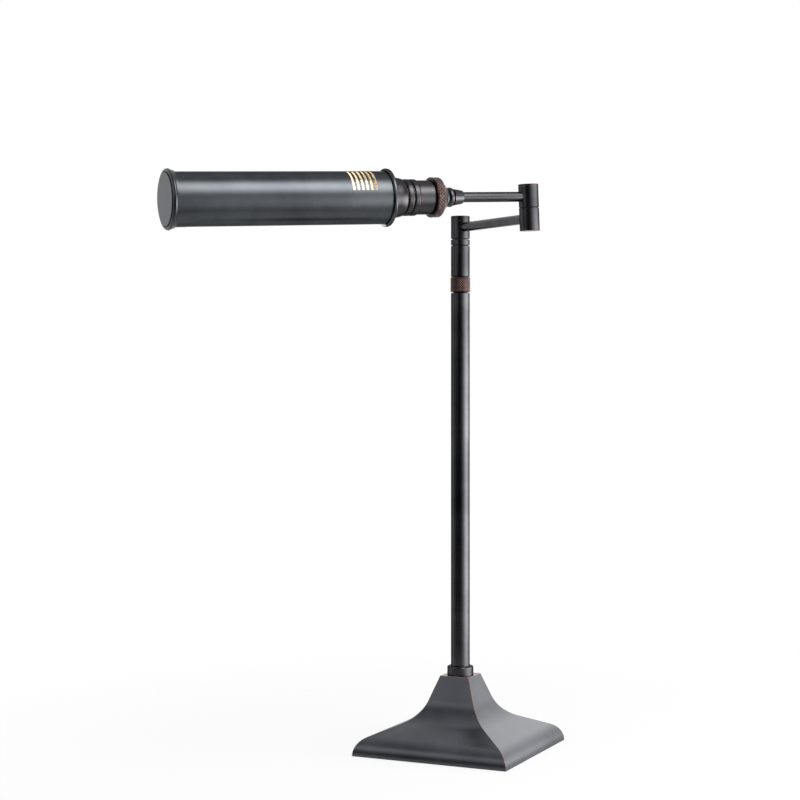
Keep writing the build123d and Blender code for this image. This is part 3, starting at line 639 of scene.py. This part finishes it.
def knurled_ring(name, section, matrix, material, teeth, tooth_length, depth, steps_along,
                 steps_per_tooth):
    """A ring from (radius, level, knurled) points in millimetres, put on an axis frame."""
    mesh = bpy.data.meshes.new(name + "_section")
    count = len(section)
    points = [(radius * mm, 0, level * mm) for radius, level, _ in section]
    mesh.from_pydata(points, [(i, (i + 1) % count) for i in range(count)], [])
    flags = mesh.attributes.new("knurled", "FLOAT", "POINT")
    for item, (_, _, flag) in zip(flags.data, section):
        item.value = flag
    blank = bpy.data.objects.new(name + "_section", mesh)
    bpy.context.scene.collection.objects.link(blank)
    modifier = blank.modifiers.new("knurling", "NODES")
    modifier.node_group = knurling_tree(material)
    sizes = {"Teeth": float(teeth), "Tooth Length": tooth_length * mm, "Depth": depth * mm,
             "Steps Along": steps_along, "Steps Round": teeth * steps_per_tooth + 1}
    for item in modifier.node_group.interface.items_tree:
        if item.in_out == "INPUT" and item.name in sizes:
            modifier[item.identifier] = sizes[item.name]
    evaluated = blank.evaluated_get(bpy.context.evaluated_depsgraph_get())
    made = bpy.data.meshes.new_from_object(evaluated)
    bpy.data.objects.remove(blank)
    made.name = name
    made.materials.clear()
    made.materials.append(material)
    made.polygons.foreach_set("material_index", [0] * len(made.polygons))
    made.transform(matrix)
    face_outwards(made)
    ring = bpy.data.objects.new(name, made)
    bpy.context.scene.collection.objects.link(ring)
    print(name, "has", teeth, "teeth round,", len(made.polygons), "faces and", len(made.materials),
          "material")
    return ring


# %% [markdown]
# The ring on the post has a narrow chamfer at each end and a knurl all over its band. Its teeth are
# 2.6 mm apart, so that the slanting rows are a little under 2 mm apart, as coarse as they need to
# be to show.

# %% Post ring
switch_pitch = 2.6
switch_depth = 0.42
switch_low, switch_high, switch_radius = [v / mm for v in reach_along("switch_ring", post_frame)]
switch_bore = 7.25
switch_chamfer = 0.8
switch_knurl_start = 0.1
switch_section = [
    (switch_bore, switch_low, 0),
    (switch_radius - switch_chamfer, switch_low, 0),
    (switch_radius, switch_low + switch_chamfer, 0),
    (switch_radius, switch_low + switch_chamfer + switch_knurl_start, 1),
    (switch_radius, switch_high - switch_chamfer - switch_knurl_start, 1),
    (switch_radius, switch_high - switch_chamfer, 0),
    (switch_radius - switch_chamfer, switch_high, 0),
    (switch_bore, switch_high, 0),
]
switch_teeth = round(math.tau * switch_radius / switch_pitch)
switch_piece = knurled_ring("switch_ring_knurled", switch_section, post_frame, post_knurl,
                            switch_teeth, switch_pitch, switch_depth, steps_along=200,
                            steps_per_tooth=12)
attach(switch_piece, "switch")
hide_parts("switch_ring")

# %% [markdown]
# The lock ring on the head is a round band with a cone behind it. Both are knurled, with teeth
# 3.2 mm apart, and a plain lip is left at the band's front. The recess in front takes the end of
# the sleeve.

# %% Lock ring
ring_low, ring_high, ring_radius = [v / mm for v in reach_along("lock_ring", head_frame)]
band_length = 8.3
plain_lip = 1.3
lip_groove = 0.35
lip_chamfer = 0.25
ring_bore = 10.25
cone_foot_radius = 10.55
cone_edge_width = 0.3
cone_edge_height = 0.23
corner = 0.1
corner_rise = 0.08
recess_radius = 16.2
recess_floor = 7.8
recess_depth = ring_high - (ring_low + recess_floor)
band_start = ring_high - band_length
lock_section = [
    (ring_bore, ring_low, 0),
    (cone_foot_radius, ring_low, 0),
    (cone_foot_radius + cone_edge_width, ring_low + cone_edge_height, 1),
    (ring_radius - corner, band_start - corner_rise, 1),
    (ring_radius, band_start + corner, 1),
    (ring_radius, ring_high - plain_lip - lip_groove - corner, 1),
    (ring_radius, ring_high - plain_lip - lip_groove, 0),
    (ring_radius - lip_groove, ring_high - plain_lip - lip_groove / 2, 0),
    (ring_radius, ring_high - plain_lip, 0),
    (ring_radius, ring_high - lip_chamfer, 0),
    (ring_radius - lip_chamfer, ring_high, 0),
    (recess_radius, ring_high, 0),
    (recess_radius, ring_high - recess_depth, 0),
    (ring_bore, ring_high - recess_depth, 0),
]
lock_pitch = 3.2
lock_depth = 0.42
lock_teeth = round(math.tau * ring_radius / lock_pitch)
lock_piece = knurled_ring("lock_ring_knurled", lock_section, head_frame, head_knurl, lock_teeth,
                          lock_pitch, lock_depth, steps_along=190, steps_per_tooth=9)
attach(lock_piece, "lock")
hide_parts("lock_ring")

# %% [markdown]
# ## Dress the model's own solids
#
# Every other solid keeps its shape and takes one of the finishes above. The pieces on the post
# follow the upright axis, the elbow's follow its leaning axis, and the head's follow the shade's.

# %% Assign finishes
finishes = {
    cast_bronze: ["base_shell"],
    post_bronze: ["base_collar", "post_tube", "upper_tube", "post_hub", "post_hub_cap"],
    grooved_bronze: ["spacer_ring"],
    arm_bronze: ["lower_arm_tube"],
    elbow_bronze: ["elbow_lower_hub", "elbow_lower_cap", "elbow_upper_hub", "elbow_upper_cap"],
    head_bronze: ["socket_cup"],
    neck_bronze: ["arm_collar", "bead_ring"],
    sleeve_bronze: ["upper_arm_tube", "socket_sleeve"],
    shade_material: ["shade_tube"],
    cap_material: ["front_cap"],
    flange_material: ["rear_flange"],
    brass_material: ["post_nipple", "post_spindle", "elbow_spindle", "head_stud", "shade_retainer",
                     "lamp_screw_shell", "lamp_contact", "bulb_cap"],
    black_steel: ["post_joiner"],
    steel: ["weight_screws", "nipple_washer", "nipple_nut", "post_foot_plug", "upper_bush",
            "drive_pin", "post_spindle_nut", "elbow_nut", "head_nut", "lampholder_screws"],
    cast_iron: ["base_weight"],
    felt: ["base_pad"],
    phenolic: ["cord_bushing", "switch_body", "switch_rotor", "lampholder_body", "bulb_tip"],
    nylon: ["post_swivel_washer", "elbow_washer", "head_washer"],
    bulb_material: ["bulb_glass"],
}
dressed = 0
for material, names in finishes.items():
    for name in names:
        slots = nodes[name].data.materials
        slots.clear()
        slots.append(material)
        dressed += 1
print("dressed", dressed, "of", len(nodes), "solids; the other two are the knurled rings")

# %% [markdown]
# ## Background, floor and light
#
# The picture has a plain white ground. A dark polished metal is seen mostly by what it mirrors, so
# the room is white all round, apart from the camera's own side, which a studio keeps dim, with one
# dark patch to the left of the camera.

# %% World
white = linear("#ffffff")
dim_room = linear("#b1b3b6")
dark_room = linear("#30343f")
dark_way = (to_camera * 0.88 - to_right * 0.47 + Vector((0, 0, 0.05))).normalized()
dim_side = (-0.45, 0.40)
dark_patch = (0.45, 0.92)
room_light = 0.60


def seen_rays(tree):
    """1 for a ray from the camera or through glass, and 1 for such a ray or a mirrored one."""
    rays = add(tree, "ShaderNodeLightPath").outputs
    seen = add(tree, "ShaderNodeMath", rays["Is Camera Ray"], rays["Is Transmission Ray"],
               operation="MAXIMUM")
    return seen, add(tree, "ShaderNodeMath", seen, rays["Is Glossy Ray"], operation="MAXIMUM")


def studio_world():
    """White where it is seen; where metal mirrors it, dim on the camera's side with a dark patch."""
    world = bpy.data.worlds.new("studio")
    bpy.context.scene.world = world
    world.use_nodes = True
    tree = world.node_tree
    tree.nodes.clear()
    way = add(tree, "ShaderNodeTexCoord").outputs["Generated"]
    front = add(tree, "ShaderNodeVectorMath", way, to_camera, operation="DOT_PRODUCT")
    patch = add(tree, "ShaderNodeVectorMath", way, dark_way, operation="DOT_PRODUCT")
    mirrored = two_tones(tree, front, (white, dim_room), dim_side)
    mirrored = two_tones(tree, patch, (mirrored, dark_room), dark_patch)
    seen, seen_or_mirrored = seen_rays(tree)
    colour = add(tree, "ShaderNodeMix", seen, mirrored, white, data_type="RGBA")
    strength = add(tree, "ShaderNodeMapRange", seen_or_mirrored, To_Min=room_light, To_Max=1.0)
    glow = add(tree, "ShaderNodeBackground", Color=colour, Strength=strength)
    add(tree, "ShaderNodeOutputWorld", glow)


studio_world()
print("dark patch of the room towards", [round(v, 2) for v in dark_way])

# %% [markdown]
# The floor is a disc that fades out into the white world. Part of its white is its own, so that it
# stays as white as the background, and the rest is plain diffuse paint, which takes the lamp's
# shadow.

# %% Floor
floor_radius = 1.2
floor_sides = 96
own_white = 0.85
fade_start = 0.14
fade_end = 0.75
paint_cloud_size = 0.4
paint_tones = (linear("#e7e7e7"), linear("#eaeaea"))


def floor_material():
    """White floor that takes a soft shadow and fades into the white world."""
    material, tree = new_material("white_floor")
    where = add(tree, "ShaderNodeTexCoord").outputs["Object"]
    away = add(tree, "ShaderNodeVectorMath", where, operation="LENGTH")
    fade = add(tree, "ShaderNodeMapRange", away, fade_start, fade_end,
               interpolation_type="SMOOTHERSTEP")
    cloud = add(tree, "ShaderNodeTexNoise", where, Scale=1 / paint_cloud_size, **plain_noise)
    matt = add(tree, "ShaderNodeBsdfDiffuse", two_tones(tree, cloud, paint_tones, whole_range))
    own = add(tree, "ShaderNodeEmission", Color=white, Strength=1.0)
    own_share = add(tree, "ShaderNodeMath", seen_rays(tree)[1], own_white, operation="MULTIPLY")
    surface = add(tree, "ShaderNodeMixShader", own_share, matt, own)
    clear = add(tree, "ShaderNodeBsdfTransparent")
    faded = add(tree, "ShaderNodeMixShader", fade, surface, clear)
    add(tree, "ShaderNodeOutputMaterial", faded)
    return material


angles = [math.tau * step / floor_sides for step in range(floor_sides)]
corners = [(floor_radius * math.cos(a), floor_radius * math.sin(a), 0) for a in angles]
floor_mesh = bpy.data.meshes.new("floor")
floor_mesh.from_pydata(corners, [], [list(range(floor_sides))])
floor = bpy.data.objects.new("floor", floor_mesh)
floor.data.materials.append(floor_material())
bpy.context.scene.collection.objects.link(floor)
print("floor disc", 2 * floor_radius, "m across")

# %% [markdown]
# A soft box is brightest in its middle and fades towards its edges, so that its reflection in a
# polished tube has no hard border. Geometry's Parametric output says where on the lamp a ray
# starts, from 0 to 1 along each side, and the lamp's own nodes turn that into a strength.
#
# The side box on the right draws the long streak down the post, and the key box, higher up and
# further forward, the streak along the shade. The front box adds a fainter one beside the first,
# the left box lifts the dark side, and the back box catches the edges that face away.

# %% Soft boxes
def fade_edges(tree):
    """Let a lamp's strength fall smoothly from 1 in its middle to 0 at its edges."""
    tree.nodes.clear()
    place = add(tree, "ShaderNodeNewGeometry").outputs["Parametric"]
    sides = add(tree, "ShaderNodeSeparateXYZ", place)
    falls = []
    for side in ("X", "Y"):
        inward = add(tree, "ShaderNodeMath", sides.outputs[side], half, operation="PINGPONG")
        falls.append(add(tree, "ShaderNodeMapRange", inward, 0.0, half,
                         interpolation_type="SMOOTHSTEP"))
    strength = add(tree, "ShaderNodeMath", *falls, operation="MULTIPLY")
    glow = add(tree, "ShaderNodeEmission", Color=white, Strength=strength)
    add(tree, "ShaderNodeOutputLight", glow)


def soft_box(name, azimuth, elevation, distance, aim, width, height, brightness):
    """A rectangular light; azimuth 0 is at the camera and 90 on the right; brightness 1 is white."""
    turn = math.radians(azimuth)
    climb = math.radians(elevation)
    level_way = to_camera * math.cos(turn) + to_right * math.sin(turn)
    way = level_way * math.cos(climb) + Vector((0, 0, math.sin(climb)))
    data = bpy.data.lights.new(name, "AREA")
    data.shape = "RECTANGLE"
    data.size = width
    data.size_y = height
    data.energy = brightness * math.pi * width * height
    data.use_nodes = True
    fade_edges(data.node_tree)
    lamp = bpy.data.objects.new(name, data)
    lamp.location = aim + way * distance
    lamp.rotation_euler = way.to_track_quat("Z", "Y").to_euler()
    lamp.visible_camera = False
    bpy.context.scene.collection.objects.link(lamp)
    print(name, "at", [round(v, 2) for v in lamp.location], "power", round(data.energy, 1), "W")


post_middle = Vector((0, 0, 0.30))
above_middle = post_middle + Vector((0, 0, 0.1))
shade_middle = (Vector(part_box("shade_tube")[0]) + Vector(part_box("shade_tube")[1])) / 2
soft_box("side_box", azimuth=85, elevation=-4, distance=1.4, aim=post_middle,
         width=3.1, height=1.7, brightness=9.2)
soft_box("key_box", azimuth=50, elevation=44, distance=1.3, aim=shade_middle,
         width=1.3, height=1.7, brightness=8.8)
soft_box("front_box", azimuth=44, elevation=-4, distance=1.5, aim=above_middle,
         width=1.7, height=3.0, brightness=1.5)
soft_box("left_box", azimuth=-55, elevation=22, distance=1.5, aim=post_middle,
         width=1.7, height=1.2, brightness=1.7)
soft_box("back_box", azimuth=156, elevation=11, distance=1.6, aim=post_middle,
         width=2.3, height=2.0, brightness=1.5)
